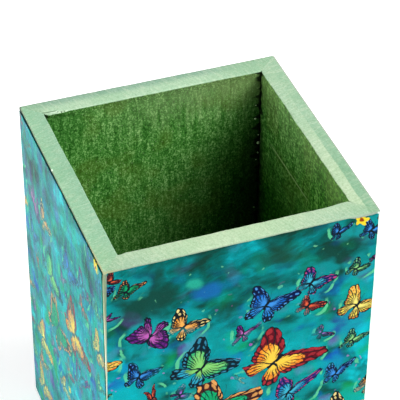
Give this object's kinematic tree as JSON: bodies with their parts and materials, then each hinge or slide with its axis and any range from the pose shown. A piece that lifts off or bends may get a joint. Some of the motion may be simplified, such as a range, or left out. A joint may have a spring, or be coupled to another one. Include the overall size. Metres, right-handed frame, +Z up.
{
  "type": "pen holder cup",
  "caption": "square open-topped pen cup of mitred painted boards glued round a grooved-in floor, with butterfly-patterned paper varnished onto each outer face",
  "frame": {"origin": "middle of the base, on the surface that the cup stands on", "axes": "+Z up through the mouth; the front face is towards -Y and the left face towards -X"},
  "size_m": [0.0786, 0.0786, 0.11],
  "materials": {
    "painted_board": "brushed satin paint, mint green on the rim and dark green inside",
    "painted_floor": "brushed dark green paint",
    "varnished_print": "printed butterflies on teal under a satin varnish"
  },
  "bodies": {
    "root": {"front_wall": "painted_board", "back_wall": "painted_board", "left_wall": "painted_board", "right_wall": "painted_board", "floor_panel": "painted_floor", "front_print": "varnished_print", "back_print": "varnished_print", "left_print": "varnished_print", "right_print": "varnished_print"}
  },
  "joints": []
}
